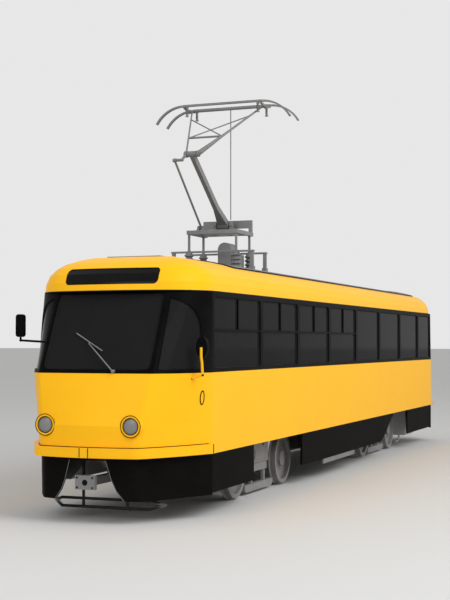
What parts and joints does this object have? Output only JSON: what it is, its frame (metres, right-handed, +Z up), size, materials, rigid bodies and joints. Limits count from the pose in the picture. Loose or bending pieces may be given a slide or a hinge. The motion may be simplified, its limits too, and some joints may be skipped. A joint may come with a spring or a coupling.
{
  "type": "tram",
  "caption": "Four-axle tram car with one cab, folding doors on one side, swivelling bogies and a single-arm pantograph on its roof",
  "frame": {"origin": "On the floor under the middle of the car, at the height of the lowest points of the wheel flanges", "axes": "X runs forward to the cab, Y to the left, Z up"},
  "size_m": [13.8499, 2.41, 5.465],
  "materials": {
    "body_yellow": "gloss paint",
    "door_yellow": "gloss paint",
    "bumper_grey": "satin grey paint",
    "frame_black": "satin black paint",
    "window_glass": "tinted",
    "sign_black": "black behind clear cover",
    "roof_rubber": "matt",
    "lamp_clear": "clear lens",
    "lamp_red": "red lens",
    "seat_shell": "moulded shell",
    "rail_steel": "brushed",
    "interior_panel": "satin",
    "cab_grey": "matt",
    "chassis_steel": "matt",
    "step_steel": "ribbed",
    "cast_black": "cast",
    "wiper_black": "satin",
    "insulator_brown": "glazed",
    "panto_grey": "satin",
    "bogie_grey": "dusty grey paint",
    "wheel_steel": "worn"
  },
  "bodies": {
    "car_body": {"underframe": "chassis_steel", "door_steps": "step_steel", "side_panel_left": "body_yellow", "side_panel_right": "body_yellow", "window_band_left": "frame_black", "window_band_right": "frame_black", "front_panel": "body_yellow", "front_window_frame": "frame_black", "rear_panel": "body_yellow", "rear_window_frame": "frame_black", "end_glass": "window_glass", "side_glass": "window_glass", "roof": "body_yellow", "destination_box": "sign_black", "roof_mat": "roof_rubber", "skirts": "frame_black", "aprons": "frame_black", "front_bumper": "body_yellow", "rear_bumper": "bumper_grey", "lamp_rings": "body_yellow", "lamp_lenses": "lamp_clear", "tail_lamps": "lamp_red", "seats": "seat_shell", "handrails": "rail_steel", "cab_partition": "interior_panel", "cab_fittings": "cab_grey", "couplers": "cast_black", "lifeguard": "chassis_steel", "mirrors": "frame_black", "wiper": "wiper_black", "panto_insulators": "insulator_brown", "panto_base": "panto_grey", "panto_drive": "panto_grey"},
    "front_bogie": {"front_bogie_frame": "bogie_grey", "front_bogie_motors": "bogie_grey", "front_rail_brakes": "cast_black"},
    "front_bogie_leading_wheelset_body": {"front_bogie_leading_wheelset": "wheel_steel"},
    "front_bogie_trailing_wheelset_body": {"front_bogie_trailing_wheelset": "wheel_steel"},
    "rear_bogie": {"rear_bogie_frame": "bogie_grey", "rear_bogie_motors": "bogie_grey", "rear_rail_brakes": "cast_black"},
    "rear_bogie_leading_wheelset_body": {"rear_bogie_leading_wheelset": "wheel_steel"},
    "rear_bogie_trailing_wheelset_body": {"rear_bogie_trailing_wheelset": "wheel_steel"},
    "front_door_a_jamb_leaf_body": {"front_door_a_jamb_leaf": "door_yellow"},
    "front_door_a_outer_leaf_body": {"front_door_a_outer_leaf": "door_yellow"},
    "front_door_b_jamb_leaf_body": {"front_door_b_jamb_leaf": "door_yellow"},
    "front_door_b_outer_leaf_body": {"front_door_b_outer_leaf": "door_yellow"},
    "middle_door_a_jamb_leaf_body": {"middle_door_a_jamb_leaf": "door_yellow"},
    "middle_door_a_outer_leaf_body": {"middle_door_a_outer_leaf": "door_yellow"},
    "middle_door_b_jamb_leaf_body": {"middle_door_b_jamb_leaf": "door_yellow"},
    "middle_door_b_outer_leaf_body": {"middle_door_b_outer_leaf": "door_yellow"},
    "rear_door_a_jamb_leaf_body": {"rear_door_a_jamb_leaf": "door_yellow"},
    "rear_door_a_outer_leaf_body": {"rear_door_a_outer_leaf": "door_yellow"},
    "rear_door_b_jamb_leaf_body": {"rear_door_b_jamb_leaf": "door_yellow"},
    "rear_door_b_outer_leaf_body": {"rear_door_b_outer_leaf": "door_yellow"},
    "panto_lower_arm": {"lower_arm": "panto_grey"},
    "panto_upper_arm": {"upper_arm": "panto_grey"},
    "panto_thrust_rod": {"thrust_rod": "panto_grey"},
    "panto_head": {"collector_head": "panto_grey"}
  },
  "joints": [
    {"name": "front_bogie_swivel", "type": "hinge", "parent": "car_body", "child": "front_bogie", "pos_m": [3.275, 0, 0.745], "axis": [0, 0, 1], "range_deg": [-10, 10]},
    {"name": "front_leading_wheels_spin", "type": "hinge", "parent": "front_bogie", "child": "front_bogie_leading_wheelset_body", "pos_m": [4.225, 0, 0.375], "axis": [0, 1, 0], "continuous": true},
    {"name": "front_trailing_wheels_spin", "type": "hinge", "parent": "front_bogie", "child": "front_bogie_trailing_wheelset_body", "pos_m": [2.325, 0, 0.375], "axis": [0, 1, 0], "continuous": true},
    {"name": "rear_bogie_swivel", "type": "hinge", "parent": "car_body", "child": "rear_bogie", "pos_m": [-3.125, 0, 0.745], "axis": [0, 0, 1], "range_deg": [-10, 10]},
    {"name": "rear_leading_wheels_spin", "type": "hinge", "parent": "rear_bogie", "child": "rear_bogie_leading_wheelset_body", "pos_m": [-2.175, 0, 0.375], "axis": [0, 1, 0], "continuous": true},
    {"name": "rear_trailing_wheels_spin", "type": "hinge", "parent": "rear_bogie", "child": "rear_bogie_trailing_wheelset_body", "pos_m": [-4.075, 0, 0.375], "axis": [0, 1, 0], "continuous": true},
    {"name": "front_door_fold", "type": "hinge", "parent": "car_body", "child": "front_door_a_jamb_leaf_body", "pos_m": [5.767, -1.074, 1.45], "axis": [0, 0, -1], "range_deg": [0, 84]},
    {"name": "front_door_a_leaf_hinge", "type": "hinge", "parent": "front_door_a_jamb_leaf_body", "child": "front_door_a_outer_leaf_body", "pos_m": [5.531, -1.096, 1.45], "axis": [0, 0, -1], "range_deg": [-168, 0]},
    {"name": "front_door_b_jamb_hinge", "type": "hinge", "parent": "car_body", "child": "front_door_b_jamb_leaf_body", "pos_m": [4.773, -1.074, 1.45], "axis": [0, 0, 1], "range_deg": [0, 84]},
    {"name": "front_door_b_leaf_hinge", "type": "hinge", "parent": "front_door_b_jamb_leaf_body", "child": "front_door_b_outer_leaf_body", "pos_m": [5.009, -1.096, 1.45], "axis": [0, 0, 1], "range_deg": [-168, 0]},
    {"name": "middle_door_fold", "type": "hinge", "parent": "car_body", "child": "middle_door_a_jamb_leaf_body", "pos_m": [0.572, -1.074, 1.45], "axis": [0, 0, -1], "range_deg": [0, 84]},
    {"name": "middle_door_a_leaf_hinge", "type": "hinge", "parent": "middle_door_a_jamb_leaf_body", "child": "middle_door_a_outer_leaf_body", "pos_m": [0.336, -1.096, 1.45], "axis": [0, 0, -1], "range_deg": [-168, 0]},
    {"name": "middle_door_b_jamb_hinge", "type": "hinge", "parent": "car_body", "child": "middle_door_b_jamb_leaf_body", "pos_m": [-0.422, -1.074, 1.45], "axis": [0, 0, 1], "range_deg": [0, 84]},
    {"name": "middle_door_b_leaf_hinge", "type": "hinge", "parent": "middle_door_b_jamb_leaf_body", "child": "middle_door_b_outer_leaf_body", "pos_m": [-0.186, -1.096, 1.45], "axis": [0, 0, 1], "range_deg": [-168, 0]},
    {"name": "rear_door_fold", "type": "hinge", "parent": "car_body", "child": "rear_door_a_jamb_leaf_body", "pos_m": [-4.653, -1.074, 1.45], "axis": [0, 0, -1], "range_deg": [0, 84]},
    {"name": "rear_door_a_leaf_hinge", "type": "hinge", "parent": "rear_door_a_jamb_leaf_body", "child": "rear_door_a_outer_leaf_body", "pos_m": [-4.889, -1.096, 1.45], "axis": [0, 0, -1], "range_deg": [-168, 0]},
    {"name": "rear_door_b_jamb_hinge", "type": "hinge", "parent": "car_body", "child": "rear_door_b_jamb_leaf_body", "pos_m": [-5.647, -1.074, 1.45], "axis": [0, 0, 1], "range_deg": [0, 84]},
    {"name": "rear_door_b_leaf_hinge", "type": "hinge", "parent": "rear_door_b_jamb_leaf_body", "child": "rear_door_b_outer_leaf_body", "pos_m": [-5.411, -1.096, 1.45], "axis": [0, 0, 1], "range_deg": [-168, 0]},
    {"name": "pantograph_lift", "type": "hinge", "parent": "car_body", "child": "panto_lower_arm", "pos_m": [2.605, 0, 3.705], "axis": [0, -1, 0], "range_deg": [-33, 12]},
    {"name": "pantograph_knee", "type": "hinge", "parent": "panto_lower_arm", "child": "panto_upper_arm", "pos_m": [3.799, 0, 4.565], "axis": [0, -1, 0], "range_deg": [-22.49, 61.76]},
    {"name": "pantograph_head_tilt", "type": "hinge", "parent": "panto_upper_arm", "child": "panto_head", "pos_m": [2.485, 0, 5.405], "axis": [0, -1, 0], "range_deg": [-28.76, 10.49]},
    {"name": "thrust_rod_swing", "type": "hinge", "parent": "car_body", "child": "panto_thrust_rod", "pos_m": [2.996, -0.19, 3.64], "axis": [0, -1, 0], "range_deg": [-36.02, 13.13]}
  ],
  "couplings": [
    {"joint": "front_door_a_leaf_hinge", "follows": "front_door_fold", "ratio": -2},
    {"joint": "front_door_b_jamb_hinge", "follows": "front_door_fold", "ratio": 1},
    {"joint": "front_door_b_leaf_hinge", "follows": "front_door_fold", "ratio": -2},
    {"joint": "middle_door_a_leaf_hinge", "follows": "middle_door_fold", "ratio": -2},
    {"joint": "middle_door_b_jamb_hinge", "follows": "middle_door_fold", "ratio": 1},
    {"joint": "middle_door_b_leaf_hinge", "follows": "middle_door_fold", "ratio": -2},
    {"joint": "rear_door_a_leaf_hinge", "follows": "rear_door_fold", "ratio": -2},
    {"joint": "rear_door_b_jamb_hinge", "follows": "rear_door_fold", "ratio": 1},
    {"joint": "rear_door_b_leaf_hinge", "follows": "rear_door_fold", "ratio": -2},
    {"joint": "pantograph_knee", "follows": "pantograph_lift", "ratio": -1.87},
    {"joint": "pantograph_head_tilt", "follows": "pantograph_lift", "ratio": 0.87},
    {"joint": "thrust_rod_swing", "follows": "pantograph_lift", "ratio": 1.09}
  ]
}
